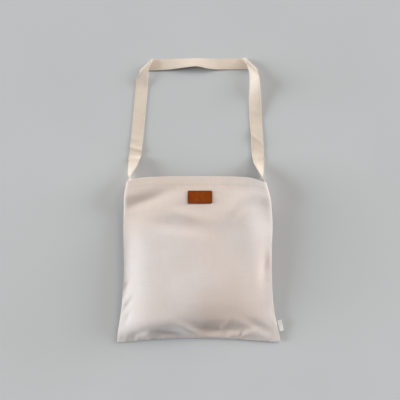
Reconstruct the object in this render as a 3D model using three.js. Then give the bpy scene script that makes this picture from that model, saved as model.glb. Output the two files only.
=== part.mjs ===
// Calico shoulder bag lying on its back, with the strap laid out above the mouth.
// Millimetres. +X to the right across the bag, +Y from the bottom seam to the mouth and strap, +Z up.
// The origin is the middle of the flat back face, on the surface that the bag lies on.
import * as THREE from "three";

// Driving sizes
const clothWall = 1.4;
const hemWall = 2.6;
const hemDepth = 25;
const seamGap = 0.3;
const strapWidth = 30;
const strapThick = 2.4;
const strapTopY = 495;
const tabEndY = 162;
const patchWidth = 56;
const patchHeight = 30;
const patchThick = 1.8;
const patchCorner = 3;
const patchX = 3;
const patchY = 143;
const patchGap = 0.5;
const tagReach = 10.5;
const tagLength = 25;
const tagLeaf = 1;
const tagSlit = 0.5;
const tagY = -155;

// Steps of the facets, and how they crowd towards the bottom seam, the side seams and the bends
const stepsAcross = 32;
const stepsUp = 30;
const hemSteps = 3;
const hemStepDown = 2;
const bottomCrowding = 1.3;
const seamCrowding = 1.3;
const bendSpread = 18;
const fineSteps = 400;
const patchSteps = 8;
const strapStepsAcross = 3;

// Cross-sections of the bag from the bottom seam up to the mouth.
// y: place; left, right: side seams; seam: their height; lens: rounded rise of the front above the seam;
// box: upright rise beside the seam, where the strap ends hold the mouth corners square.
const sections = [
  { y: -191, left: -190.5, right: 190.5, seam: 5, lens: 0, box: 0 },
  { y: -173, left: -189.5, right: 188.5, seam: 7, lens: 17, box: 0 },
  { y: -150, left: -186, right: 183, seam: 9.5, lens: 29, box: 0 },
  { y: -125, left: -182, right: 177.5, seam: 12, lens: 36, box: 0 },
  { y: -85, left: -178, right: 173, seam: 16, lens: 42, box: 0 },
  { y: -30, left: -175, right: 171.5, seam: 19, lens: 44, box: 0 },
  { y: 30, left: -177.5, right: 173, seam: 19.5, lens: 42, box: 0 },
  { y: 80, left: -179.5, right: 175.5, seam: 19, lens: 38, box: 1 },
  { y: 118, left: -179, right: 174, seam: 18.5, lens: 25, box: 9 },
  { y: 150, left: -177.5, right: 169.5, seam: 18, lens: 10, box: 20.6 },
  { y: 184, left: -173, right: 161.5, seam: 18, lens: 5, box: 20.6 },
];
const bottomY = sections[0].y;
const mouthY = sections[sections.length - 1].y;
const fullBox = sections[sections.length - 1].box;

// Roundness of the rises, the flat shares of the back that lie on the surface, the share of the way up
// over which the back leaves the bottom seam, and how far the front's edge tucks in at the seams
const lensPower = 2.5;
const boxPower = 40;
const boxEdge = 0.3;
const backFlat = 0.6;
const backFlatAtMouth = 0.965;
const backRise = 0.12;
const seamTuck = 0.7;

// The bottom seam is drawn in between its corners, and the hem stands out between its corners
const bottomArch = 10;
const hemArch = 8;
const hemArchPower = 4;
const archFade = 5;

// The mouth's corners droop: by how much, over which shares of the way across, and how fast it fades below
const cornerDroop = { left: 2.4, right: 5, from: 0.76, to: 0.96, fade: 8 };

// Folds of the front: middle, direction of the long way in degrees, half sizes, and height (a dent is minus)
const folds = [
  { name: "mouth corner dent", x: -130, y: 138, turn: 17, long: 54, wide: 13, height: -8 },
  { name: "hollow below the mouth corner", x: -132, y: 118, turn: 12, long: 50, wide: 24, height: -4 },
  { name: "sag below the patch", x: -42, y: 85, turn: 3, long: 72, wide: 17, height: -6.5 },
  { name: "lobe below the patch", x: -30, y: 111, turn: -8, long: 38, wide: 11, height: 3.5 },
  { name: "left of the patch", x: -62, y: 128, turn: 20, long: 36, wide: 20, height: 3 },
  { name: "right of the patch", x: 78, y: 115, turn: 28, long: 45, wide: 29, height: 6 },
  { name: "right hem hollow", x: 110, y: 160, turn: 21, long: 36, wide: 19, height: -4 },
  { name: "right crease", x: 107, y: 123, turn: 44, long: 34, wide: 10, height: -3.5 },
  { name: "right flank", x: 113, y: 80, turn: 102, long: 80, wide: 38, height: 8 },
  { name: "right side dent", x: 153, y: -10, turn: 84, long: 38, wide: 12, height: -8 },
  { name: "left flank", x: -125, y: -35, turn: 90, long: 140, wide: 42, height: 6 },
  { name: "left edge fold", x: -170, y: 5, turn: 89, long: 78, wide: 8, height: -10 },
  { name: "lower left swell", x: -80, y: -113, turn: 22, long: 150, wide: 53, height: 11 },
  { name: "lower right hollow", x: 140, y: -95, turn: 55, long: 115, wide: 34, height: -2.3 },
  { name: "left bottom ridge", x: -85, y: -134, turn: 12, long: 90, wide: 24, height: 7 },
  { name: "bottom dent left", x: -68, y: -162, turn: -12, long: 36, wide: 10, height: -10 },
  { name: "bottom dent right", x: 44, y: -160, turn: -1, long: 64, wide: 18, height: -19 },
  { name: "bottom seam fold", x: -24, y: -154, turn: -36, long: 32, wide: 11, height: 7.5 },
  { name: "bottom corner crease", x: 148, y: -158, turn: -31, long: 46, wide: 11, height: -4.8 },
  { name: "left corner dent", x: -140, y: -171, turn: 20, long: 26, wide: 10, height: -7 },
];
const foldFade = 9;

// Mitred corners of the strap: where the centre lines cross, slope of the fold, radius of the roll
const strapCorners = {
  left: { side: -1, x: -137, slope: 45, roll: 5 },
  right: { side: 1, x: 135, slope: 46, roll: 7 },
};

// Top stretch of the strap: heights of the middle of the cloth at its lower and upper edges, and shift along y
const strapTop = [
  { x: -118, lower: 1.2, upper: 1.2, shift: -3 },
  { x: -80, lower: 3, upper: 1.2, shift: -1.6 },
  { x: -38, lower: 9, upper: 1.4, shift: -0.2 },
  { x: -6, lower: 12.5, upper: 1.8, shift: 0.2 },
  { x: 27, lower: 7.5, upper: 4, shift: -2 },
  { x: 52, lower: 2, upper: 1.4, shift: -0.6 },
  { x: 80, lower: 1.2, upper: 1.2, shift: 0 },
];

// Legs of the strap from the corners down into the mouth: place, and heights of the two edges
const legs = {
  left: [
    { y: 495, x: -140.5, inner: 11.2, outer: 11.2 },
    { y: 470, x: -142.5, inner: 10, outer: 10.5 },
    { y: 425, x: -146.5, inner: 1.2, outer: 1.2 },
    { y: 292, x: -155.5, inner: 1.2, outer: 1.2 },
    { y: 270, x: -157, inner: 5, outer: 3.6 },
    { y: 254, x: -158.6, inner: 4, outer: 2 },
    { y: 240, x: -160.2, inner: 14.5, outer: 4 },
    { y: 222, x: -163.6, inner: 21, outer: 3 },
    { y: 206, x: -167, inner: 28, outer: 2.8 },
    { y: 190, x: -166.2, inner: 33.5, outer: 3.5 },
    { y: 162, x: -169, inner: 33.5, outer: 3.5 },
  ],
  right: [
    { y: 495, x: 138, inner: 15.2, outer: 15.2 },
    { y: 470, x: 139.5, inner: 4, outer: 26.5 },
    { y: 440, x: 141, inner: 2, outer: 24 },
    { y: 395, x: 142.6, inner: 1.2, outer: 10 },
    { y: 340, x: 144.3, inner: 1.2, outer: 1.2 },
    { y: 305, x: 145.7, inner: 4, outer: 2 },
    { y: 265, x: 147.3, inner: 1.2, outer: 1.2 },
    { y: 240, x: 148.4, inner: 9, outer: 1.2 },
    { y: 222, x: 150, inner: 21, outer: 1.2 },
    { y: 206, x: 152.2, inner: 28.5, outer: 2.2 },
    { y: 190, x: 153, inner: 33.5, outer: 3.5 },
    { y: 162, x: 159, inner: 33.5, outer: 3.5 },
  ],
};

// Spacing of the strap's facets along it, and the stretches where it changes
const strapSteps = { plain: 13, corner: 7, twist: 6.5, perRoll: 8 };
const skewReach = 14;
const skewFade = 46;
const legBlend = 12;
const twistStartY = 264;

const { clamp, lerp, smoothstep, degToRad } = THREE.MathUtils;

// Smooth curve through one column of a table, with no overshoot between its rows
function curve(rows, key, column) {
  const sorted = [...rows].sort((a, b) => a[key] - b[key]);
  const places = sorted.map((row) => row[key]);
  const values = sorted.map((row) => row[column]);
  const last = places.length - 1;
  const rise = (i) => (values[i + 1] - values[i]) / (places[i + 1] - places[i]);
  const slopes = values.map((_, i) => {
    if (i === 0) return rise(0);
    if (i === last) return rise(last - 1);
    const before = rise(i - 1);
    const after = rise(i);
    return before * after <= 0 ? 0 : (2 * before * after) / (before + after);
  });
  return (place) => {
    const p = clamp(place, places[0], places[last]);
    let i = 0;
    while (i < last - 1 && p > places[i + 1]) i += 1;
    const span = places[i + 1] - places[i];
    const s = (p - places[i]) / span;
    const start = (1 + 2 * s) * (1 - s) ** 2 * values[i] + s * (1 - s) ** 2 * span * slopes[i];
    const end = s * s * (3 - 2 * s) * values[i + 1] + s * s * (s - 1) * span * slopes[i + 1];
    return start + end;
  };
}

const section = Object.fromEntries(
  ["left", "right", "seam", "lens", "box"].map((column) => [column, curve(sections, "y", column)]),
);

// Normals of a grid of points, from its neighbouring rows and columns
function gridNormals(grid) {
  const lastRow = grid.length - 1;
  const lastCol = grid[0].length - 1;
  return grid.map((row, r) =>
    row.map((_, c) => {
      const along = grid[Math.min(r + 1, lastRow)][c].clone().sub(grid[Math.max(r - 1, 0)][c]);
      const across = row[Math.min(c + 1, lastCol)].clone().sub(row[Math.max(c - 1, 0)]);
      return across.cross(along).normalize();
    }),
  );
}

// Grid of points moved along its normals by a distance for each row
function offsetGrid(grid, distance) {
  const normals = gridNormals(grid);
  return grid.map((row, r) =>
    row.map((point, c) => point.clone().addScaledVector(normals[r][c], distance(r))),
  );
}

// Closed wall between two matching grids: top faces along the grids' normals, bottom faces away
function wallBetween(top, bottom) {
  const rows = top.length;
  const cols = top[0].length;
  const positions = [top, bottom].flatMap((grid) => grid.flat().flatMap((p) => [p.x, p.y, p.z]));
  const topAt = (r, c) => r * cols + c;
  const bottomAt = (r, c) => rows * cols + r * cols + c;
  const index = [];
  const quad = (a, b, c, d) => index.push(a, b, c, a, c, d);
  for (let r = 0; r + 1 < rows; r += 1) {
    for (let c = 0; c + 1 < cols; c += 1) {
      quad(topAt(r, c), topAt(r, c + 1), topAt(r + 1, c + 1), topAt(r + 1, c));
      quad(bottomAt(r, c), bottomAt(r + 1, c), bottomAt(r + 1, c + 1), bottomAt(r, c + 1));
    }
    quad(topAt(r, 0), topAt(r + 1, 0), bottomAt(r + 1, 0), bottomAt(r, 0));
    quad(topAt(r + 1, cols - 1), topAt(r, cols - 1), bottomAt(r, cols - 1), bottomAt(r + 1, cols - 1));
  }
  for (let c = 0; c + 1 < cols; c += 1) {
    quad(topAt(0, c + 1), topAt(0, c), bottomAt(0, c), bottomAt(0, c + 1));
    quad(topAt(rows - 1, c), topAt(rows - 1, c + 1), bottomAt(rows - 1, c + 1), bottomAt(rows - 1, c));
  }
  const geometry = new THREE.BufferGeometry();
  geometry.setAttribute("position", new THREE.Float32BufferAttribute(positions, 3));
  geometry.setIndex(index);
  geometry.computeVertexNormals();
  return geometry;
}

// Share of the way up, 0 at the bottom seam and 1 at the mouth
const shareOf = (y) => (y - bottomY) / (mouthY - bottomY);
const heightOf = (share) => lerp(bottomY, mouthY, share);

// Shares of the rows of facets
function rowShares() {
  const hemStart = shareOf(mouthY - hemDepth);
  const bodyEnd = shareOf(mouthY - hemDepth - hemStepDown);
  const bodySteps = stepsUp - hemSteps;
  const body = Array.from({ length: bodySteps + 1 }, (_, k) => bodyEnd * (k / bodySteps) ** bottomCrowding);
  const hem = Array.from({ length: hemSteps }, (_, k) => lerp(hemStart, 1, k / (hemSteps - 1)));
  return [...body, ...hem];
}

const shares = rowShares();
const wallAt = (share) => (heightOf(share) > mouthY - hemDepth - hemStepDown / 2 ? hemWall : clothWall);
const squareness = (y) => section.box(y) / fullBox;

// Rise of the front above the seam, across from -1 at the left seam to 1 at the right seam
function frontRise(across, y) {
  const t = Math.abs(across);
  return section.lens(y) * (1 - t ** lensPower) + section.box(y) * (1 - t ** boxPower) ** boxEdge;
}

// Height that the folds add at a place on the front
function foldHeight(x, y) {
  return folds.reduce((sum, fold) => {
    const turn = degToRad(fold.turn);
    const dx = x - fold.x;
    const dy = y - fold.y;
    const long = (dx * Math.cos(turn) + dy * Math.sin(turn)) / fold.long;
    const wide = (dy * Math.cos(turn) - dx * Math.sin(turn)) / fold.wide;
    return sum + fold.height * Math.exp(-(long * long) - wide * wide);
  }, 0);
}

// Plan place across a section, drawn in along the bottom and standing out along the hem
function planPoint(across, share, inset) {
  const y = heightOf(share);
  const x = lerp(section.left(y) + inset, section.right(y) - inset, (across + 1) / 2);
  const drawnIn = bottomArch * (1 - across * across) * (1 - share) ** archFade;
  const standsOut = hemArch * (1 - Math.abs(across) ** hemArchPower) * share ** archFade;
  const most = across < 0 ? cornerDroop.left : cornerDroop.right;
  const droop = most * smoothstep(Math.abs(across), cornerDroop.from, cornerDroop.to) * share ** cornerDroop.fade;
  return new THREE.Vector3(x, y + drawnIn + standsOut - droop, 0);
}

// Inner face of the front's outer cloth; the turned hem lies inside it
function frontPoint(across, share) {
  const y = heightOf(share);
  const inset = clothWall * lerp(seamTuck, 1, squareness(y));
  const point = planPoint(across, share, inset);
  const rise = frontRise(across, y);
  const fold = foldHeight(point.x, point.y) * (1 - Math.exp(-rise / foldFade));
  point.z = section.seam(y) + seamGap / 2 + rise + fold;
  return point;
}

// Outer face of the back: flat on the surface, rising to the seams
function backPoint(across, share) {
  const y = heightOf(share);
  const t = Math.abs(across);
  const point = planPoint(across, share, seamGap);
  const edge = section.seam(y) - seamGap / 2 - clothWall * (1 - squareness(y));
  const lensSide = Math.max(0, (t - backFlat) / (1 - backFlat)) ** 2;
  const boxSide = 1 - (1 - Math.max(0, (t - backFlatAtMouth) / (1 - backFlatAtMouth)) ** 2) ** boxEdge;
  const side = lerp(lensSide, boxSide, squareness(y));
  const bottom = Math.max(0, 1 - share / backRise) ** 2;
  point.z = edge * (1 - (1 - side) * (1 - bottom));
  return point;
}

// Places across a row that step evenly along its curve, closer together where it bends and near the seams
function placesAcross(pointAt, share) {
  const places = Array.from({ length: fineSteps + 1 }, (_, k) => -Math.cos((k / fineSteps) * Math.PI));
  const points = places.map((place) => pointAt(place, share));
  const ways = points.slice(1).map((point, k) => point.clone().sub(points[k]));
  const measures = [0];
  ways.forEach((way, k) => {
    const bend = k > 0 ? way.angleTo(ways[k - 1]) : 0;
    measures.push(measures[k] + way.length() + bend * bendSpread);
  });
  return Array.from({ length: stepsAcross + 1 }, (_, k) => {
    const u = (k / stepsAcross) * 2 - 1;
    const spread = Math.sign(u) * (1 - (1 - Math.abs(u)) ** seamCrowding);
    const target = (measures[fineSteps] * (spread + 1)) / 2;
    const i = clamp(measures.findIndex((measure) => measure >= target), 1, fineSteps);
    const part = (target - measures[i - 1]) / (measures[i] - measures[i - 1]);
    return lerp(places[i - 1], places[i], part);
  });
}

function panelGrid(pointAt) {
  return shares.map((share) => placesAcross(pointAt, share).map((across) => pointAt(across, share)));
}

function frontPanel() {
  const face = panelGrid(frontPoint);
  const hem = offsetGrid(face, (r) => clothWall - wallAt(shares[r]));
  return wallBetween(offsetGrid(face, () => clothWall), hem);
}

function backPanel() {
  const outer = panelGrid(backPoint);
  return wallBetween(offsetGrid(outer, (r) => wallAt(shares[r])), outer);
}

// Height of the front's outer face at a place in plan
function frontHeight(x, y) {
  let share = shareOf(y);
  let across = 0;
  for (let turn = 0; turn < 4; turn += 1) {
    const level = heightOf(share);
    across = ((x - section.left(level)) / (section.right(level) - section.left(level))) * 2 - 1;
    share += shareOf(y) - shareOf(planPoint(across, share, 0).y);
  }
  return frontPoint(across, share).z + clothWall;
}

// Leather patch with round corners, lying on the front
function leatherPatch() {
  const cornerRows = [0, 1, 2, 3].map((k) => patchCorner * (1 - Math.cos((k * Math.PI) / 6)));
  const middleRows = [1, 2, 3].map((k) => lerp(patchCorner, patchHeight - patchCorner, k / 4));
  const rows = [...cornerRows, ...middleRows, ...cornerRows.map((row) => patchHeight - row).reverse()];
  const lower = rows.map((row) => {
    const fromEdge = Math.min(row, patchHeight - row, patchCorner);
    const bite = patchCorner - Math.sqrt(patchCorner ** 2 - (patchCorner - fromEdge) ** 2);
    const half = patchWidth / 2 - bite;
    return Array.from({ length: patchSteps + 1 }, (_, k) => {
      const x = patchX + half * ((2 * k) / patchSteps - 1);
      const y = patchY - patchHeight / 2 + row;
      return new THREE.Vector3(x, y, frontHeight(x, y) + patchGap);
    });
  });
  return wallBetween(offsetGrid(lower, () => patchThick), lower);
}

const legCurves = Object.fromEntries(
  Object.entries(legs).map(([name, rows]) => [
    name,
    Object.fromEntries(["x", "inner", "outer"].map((column) => [column, curve(rows, "y", column)])),
  ]),
);
const topCurves = Object.fromEntries(
  ["lower", "upper", "shift"].map((column) => [column, curve(strapTop, "x", column)]),
);

// Point of the strap's middle face on the top stretch
function strapTopPoint(x, v) {
  const lower = topCurves.lower(x);
  const upper = topCurves.upper(x);
  const lean = Math.sqrt(1 - ((upper - lower) / strapWidth) ** 2);
  const share = v / strapWidth + 0.5;
  const y = strapTopY + topCurves.shift(x) + strapWidth / 2 - (strapWidth / 2 - v) * lean;
  return new THREE.Vector3(x, y, lerp(lower, upper, share));
}

// Point of the strap's middle face on a leg, by the distance below the corner and the place across
function strapLegPoint(name, below, inward) {
  const leg = legCurves[name];
  const side = strapCorners[name].side;
  const y = strapTopY - below;
  const heading = Math.atan(leg.x(y + 1) - leg.x(y - 1)) / 2;
  const inner = leg.inner(y);
  const outer = leg.outer(y);
  const lean = Math.sqrt(Math.max(0, 1 - ((inner - outer) / strapWidth) ** 2));
  const reach = -side * inward * lean;
  const z = lerp(outer, inner, inward / strapWidth + 0.5);
  return new THREE.Vector3(leg.x(y) + reach * Math.cos(heading), y - reach * Math.sin(heading), z);
}

// Point of the strap's middle face, by the distance along it from its middle and the place across.
// Past a mitred corner the strap rolls over the slanting fold and comes back as the leg.
function strapPoint(s, v) {
  const name = s < 0 ? "left" : "right";
  const { side, x: cornerX, slope, roll } = strapCorners[name];
  const middleX = (strapCorners.left.x + strapCorners.right.x) / 2;
  const slant = degToRad(slope);
  const outward = new THREE.Vector2(side * Math.sin(slant), Math.cos(slant));
  const foldWay = new THREE.Vector2(side * Math.cos(slant), -Math.sin(slant));
  const flat = new THREE.Vector2(middleX + s - cornerX, v).addScaledVector(outward, (Math.PI * roll) / 2);
  const past = flat.dot(outward);
  const top = strapTopPoint(middleX + s, v);
  if (past <= 0) return top;
  const angle = Math.min(past / roll, Math.PI);
  const back = Math.max(0, past - Math.PI * roll);
  const place = foldWay
    .clone()
    .multiplyScalar(flat.dot(foldWay))
    .addScaledVector(outward, roll * Math.sin(angle) - back - (Math.PI * roll) / 2);
  const rolled = new THREE.Vector3(
    cornerX + place.x,
    strapTopY + topCurves.shift(middleX + s) + place.y,
    strapThick / 2 + roll * (1 - Math.cos(angle)),
  );
  const below = side * (middleX + s - cornerX) - topCurves.shift(middleX + s);
  return rolled.lerp(strapLegPoint(name, below, v), smoothstep(back, 0, legBlend));
}

// Distances along one half of the strap, from its middle to its end, closer together where it bends
function strapStations(name) {
  const { x, slope, roll } = strapCorners[name];
  const middleX = (strapCorners.left.x + strapCorners.right.x) / 2;
  const toCorner = Math.abs(x - middleX);
  const rollHalf = (Math.PI * roll) / 2 / Math.sin(degToRad(slope));
  const cornerY = strapTopY + topCurves.shift(x);
  const end = toCorner + cornerY - tabEndY;
  const stretches = [
    { to: toCorner - rollHalf - skewReach - skewFade, step: strapSteps.plain },
    { to: toCorner - rollHalf, step: strapSteps.corner },
    { to: toCorner + rollHalf, step: (2 * rollHalf) / strapSteps.perRoll },
    { to: toCorner + rollHalf + skewReach + skewFade, step: strapSteps.corner },
    { to: toCorner + cornerY - twistStartY, step: strapSteps.plain },
    { to: end, step: strapSteps.twist },
  ];
  const stations = [0];
  stretches.forEach(({ to, step }) => {
    const from = stations[stations.length - 1];
    const count = Math.max(1, Math.round((to - from) / step));
    for (let k = 1; k <= count; k += 1) stations.push(lerp(from, to, k / count));
  });
  return stations.map((s) => {
    const away = Math.abs(s - toCorner) - rollHalf;
    const skew = (1 - smoothstep(away, skewReach, skewReach + skewFade)) / Math.tan(degToRad(slope));
    return { s, skew };
  });
}

// One flat strap: rows of points across it lie along the folds at the mitred corners
function strap() {
  const left = strapStations("left").map(({ s, skew }) => ({ s: -s, skew }));
  const right = strapStations("right").map(({ s, skew }) => ({ s, skew: -skew }));
  const stations = [...left.slice(1).reverse(), ...right];
  const middle = stations.map(({ s, skew }) =>
    Array.from({ length: strapStepsAcross + 1 }, (_, k) => {
      const v = strapWidth * (0.5 - k / strapStepsAcross);
      return strapPoint(s + v * skew, v);
    }),
  );
  const upper = offsetGrid(middle, () => strapThick / 2);
  const lower = offsetGrid(middle, () => -strapThick / 2);
  return wallBetween(upper, lower);
}

// Tag folded over at its outer edge, its open side against the right side seam
function sideTag() {
  const half = tagLeaf + tagSlit / 2;
  const foldX = tagReach - half;
  const shape = new THREE.Shape();
  shape.moveTo(0, -half);
  shape.lineTo(foldX, -half);
  shape.absarc(foldX, 0, half, -Math.PI / 2, Math.PI / 2, false);
  shape.lineTo(0, half);
  shape.lineTo(0, tagSlit / 2);
  shape.lineTo(foldX, tagSlit / 2);
  shape.absarc(foldX, 0, tagSlit / 2, Math.PI / 2, -Math.PI / 2, true);
  shape.lineTo(0, -tagSlit / 2);
  shape.closePath();
  return new THREE.ExtrudeGeometry(shape, { depth: tagLength, bevelEnabled: false, curveSegments: 6 });
}

// Frame at the seam for the tag: its reach points out of the bag, its length runs down the seam
function placeTag(mesh) {
  const seamAt = (y) => new THREE.Vector3(section.right(y), y, section.seam(y));
  const from = seamAt(tagY + tagLength / 2);
  const down = seamAt(tagY - tagLength / 2).sub(from).normalize();
  const out = new THREE.Vector3(0, 0, 1).cross(down).normalize();
  const up = down.clone().cross(out);
  mesh.quaternion.setFromRotationMatrix(new THREE.Matrix4().makeBasis(out, up, down));
  mesh.position.copy(from).addScaledVector(out, 2 * seamGap);
}

function piece(name, geometry, color, roughness) {
  const mesh = new THREE.Mesh(geometry, new THREE.MeshStandardMaterial({ color, roughness, metalness: 0 }));
  mesh.name = name;
  return mesh;
}

const tag = piece("side_tag", sideTag(), 0xebe8e4, 0.8);
placeTag(tag);

const bag = new THREE.Group();
bag.add(
  piece("front_panel", frontPanel(), 0xd5c5bc, 0.95),
  piece("back_panel", backPanel(), 0xd5c5bc, 0.95),
  piece("strap", strap(), 0xd8ccbc, 0.95),
  piece("leather_patch", leatherPatch(), 0x823a12, 0.6),
  tag,
);

export default bag;
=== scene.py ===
import math

import bmesh
import bpy
import numpy as np
from mathutils import Matrix, Vector


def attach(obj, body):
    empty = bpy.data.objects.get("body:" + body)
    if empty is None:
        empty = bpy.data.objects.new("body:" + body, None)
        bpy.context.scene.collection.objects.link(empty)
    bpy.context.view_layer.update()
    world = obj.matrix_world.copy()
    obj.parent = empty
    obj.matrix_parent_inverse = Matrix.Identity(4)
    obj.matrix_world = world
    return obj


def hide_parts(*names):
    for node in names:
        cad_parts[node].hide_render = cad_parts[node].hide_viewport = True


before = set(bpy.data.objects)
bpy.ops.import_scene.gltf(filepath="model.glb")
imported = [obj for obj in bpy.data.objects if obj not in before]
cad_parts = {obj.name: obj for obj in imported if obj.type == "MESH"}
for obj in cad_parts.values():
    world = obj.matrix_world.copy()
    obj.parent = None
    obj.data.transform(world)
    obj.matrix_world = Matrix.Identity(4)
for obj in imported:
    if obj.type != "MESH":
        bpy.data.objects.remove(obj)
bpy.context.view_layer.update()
print("frame loaded:", sorted(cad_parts))

scene = bpy.context.scene
mm = 0.001  # tables below are in millimetres, meshes in metres


# smooth curve through the rows of a table, with no overshoot between them
def smoothColumn(table, column):
    rows = np.array(sorted(table), float)
    places, values = rows[:, 0], rows[:, column]
    rise = np.diff(values) / np.diff(places)
    before, after = rise[:-1], rise[1:]
    same = before * after > 0
    inner = np.where(same, 2 * before * after / np.where(same, before + after, 1), 0)
    slopes = np.concatenate([rise[:1], inner, rise[-1:]])

    def valueAt(place):
        p = np.clip(place, places[0], places[-1])
        i = np.clip(np.searchsorted(places, p) - 1, 0, len(places) - 2)
        span = places[i + 1] - places[i]
        s = (p - places[i]) / span
        start = (1 + 2 * s) * (1 - s) ** 2 * values[i] + s * (1 - s) ** 2 * span * slopes[i]
        end = s * s * (3 - 2 * s) * values[i + 1] + s * s * (s - 1) * span * slopes[i + 1]
        return start + end

    return valueAt


def smoothStep(value, low, high):
    s = np.clip((value - low) / (high - low), 0, 1)
    return s * s * (3 - 2 * s)


def unit(vectors):
    return vectors / np.maximum(np.linalg.norm(vectors, axis=-1, keepdims=True), 1e-12)


# normals of a grid of points, rows upwards and columns across
def gridNormals(points):
    along = np.gradient(points, axis=0)
    across = np.gradient(points, axis=1)
    return unit(np.cross(across, along))


# smooth random height field from a few seeded waves, about -1 to 1
def ripple(x, y, seed, longest, shortest, waves=14):
    draw = np.random.default_rng(seed)
    total = np.zeros(np.broadcast(x, y).shape)
    for k in range(waves):
        length = longest * (shortest / longest) ** (k / (waves - 1))
        angle, phase = draw.uniform(0, math.pi), draw.uniform(0, 2 * math.pi)
        swing = draw.uniform(0.5, 1) * (length / longest) ** 0.5
        total += swing * np.sin(2 * math.pi * (x * math.cos(angle) + y * math.sin(angle)) / length + phase)
    return total / 2.2


# grid mesh whose points and flat cloth places are given in millimetres
def gridPiece(name, points, flat, material):
    rows, cols = points.shape[:2]
    bm = bmesh.new()
    bmesh.ops.create_grid(bm, x_segments=cols - 1, y_segments=rows - 1, size=1)
    bm.verts.ensure_lookup_table()
    for vert, place in zip(bm.verts, points.reshape(-1, 3)):
        vert.co = place * mm
    layer = bm.loops.layers.uv.new("cloth")
    flatList = flat.reshape(-1, 2) * mm
    for face in bm.faces:
        face.smooth = True
        for loop in face.loops:
            loop[layer].uv = flatList[loop.vert.index]
    return meshPiece(name, bm, material)


def meshPiece(name, bm, material):
    mesh = bpy.data.meshes.new(name)
    bm.to_mesh(mesh)
    bm.free()
    piece = bpy.data.objects.new(name, mesh)
    scene.collection.objects.link(piece)
    mesh.materials.append(material)
    return piece


def carried(piece, slot, *nodes):
    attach(piece, "root")
    if nodes:
        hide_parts(*nodes)
    return piece


# node helpers for the materials
def newMaterial(name):
    material = bpy.data.materials.new(name)
    material.use_nodes = True
    tree = material.node_tree
    return material, tree, tree.nodes["Principled BSDF"]


def addNode(tree, kind, sockets=None, **settings):
    node = tree.nodes.new(kind)
    for key, value in settings.items():
        setattr(node, key, value)
    for key, value in (sockets or {}).items():
        if isinstance(value, bpy.types.NodeSocket):
            tree.links.new(value, node.inputs[key])
        else:
            node.inputs[key].default_value = value
    return node


def calc(tree, operation, first, second=0.0):
    return addNode(tree, "ShaderNodeMath", {0: first, 1: second}, operation=operation).outputs[0]


def blend(tree, share, first, second, way="MIX"):
    node = addNode(tree, "ShaderNodeMix", {0: share, 6: first, 7: second}, data_type="RGBA", blend_type=way)
    return node.outputs[2]


def ramp(tree, value, stops):
    node = addNode(tree, "ShaderNodeValToRGB", {0: value})
    elements = node.color_ramp.elements
    while len(elements) < len(stops):
        elements.new(0.5)
    for element, (place, shade) in zip(elements, stops):
        element.position = place
        element.color = (shade, shade, shade, 1) if isinstance(shade, (int, float)) else (*shade, 1)
    return node.outputs[0]


def noise(tree, where, scale, detail=3, rough=0.55, twist=0.0):
    sockets = {"Vector": where, "Scale": scale, "Detail": detail, "Roughness": rough, "Distortion": twist}
    return addNode(tree, "ShaderNodeTexNoise", sockets).outputs[0]


def stretched(tree, where, scale):
    return addNode(tree, "ShaderNodeMapping", {"Vector": where, "Scale": scale}).outputs[0]


# parallel threads or ribs
def bands(tree, where, scale, twist, way, fine=1.0):
    sockets = {"Vector": where, "Scale": scale, "Distortion": twist, "Detail": 1.0, "Detail Scale": fine}
    return addNode(tree, "ShaderNodeTexWave", sockets, bands_direction=way).outputs["Fac"]


def bump(tree, height, strength, distance, normal=None):
    sockets = {"Height": height, "Strength": strength, "Distance": distance}
    if normal is not None:
        sockets["Normal"] = normal
    return addNode(tree, "ShaderNodeBump", sockets).outputs[0]


calico = {
    # colours of each cloth, and the x in metres where the painted warm shade towards the mouth ends
    "panel": {"pale": (0.735, 0.662, 0.637), "warm": (0.71, 0.612, 0.565), "paintedShadeEnd": 0.12},
    "strap": {"pale": (0.79, 0.712, 0.645), "warm": (0.755, 0.662, 0.58), "paintedShadeEnd": 0.3},
    "paintedMouthShade": (1.0, 0.945, 0.885),  # painted warm shade towards the mouth, where the hem's cloth is doubled
    "paintedShadeFade": (0.06, 0.165),  # y in metres where the painted shade begins and where it is full
    "paintedShadeSideFade": 0.1,  # metres in which the painted shade fades towards the right
    # tint of the painted shade in the dents and hollows
    "paintedShadeTint": (1.0, 0.925, 0.865),
    # painted warm shade in the front's dents and hollows: x, y and reach in metres, share of the tint
    "paintedShadeSpots": [
        (0.052, -0.15, 0.105, 1.0),
        (0.075, -0.06, 0.12, 0.35),
        (0.02, 0.035, 0.11, 0.3),
        (-0.13, 0.115, 0.08, 0.5),
    ],
    "threadPitch": 0.001,  # metres from thread to thread
    "slubLong": 22,  # slubs to a metre along the thread
    "slubWide": 620,  # and across it
    "fleck": (0.27, 0.16, 0.085),
    "flecks": 75,  # places to a metre for seed flecks
    "fleckSkip": 0.72,  # share of the places left bare
    "fleckRadius": 0.045,  # share of a place that a fleck fills
    "fleckDepth": 0.55,
    "mottle": 11,  # patches to a metre of uneven colour
    "cloud": 45,  # patches to a metre of uneven shade
    "crumple": 70,  # crumples to a metre
    # strength and depth in metres of the bumps
    "crumpleBump": (0.26, 0.0012),
    "slubBump": (0.18, 0.0003),
    "weaveBump": (0.55, 0.00018),
}
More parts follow.
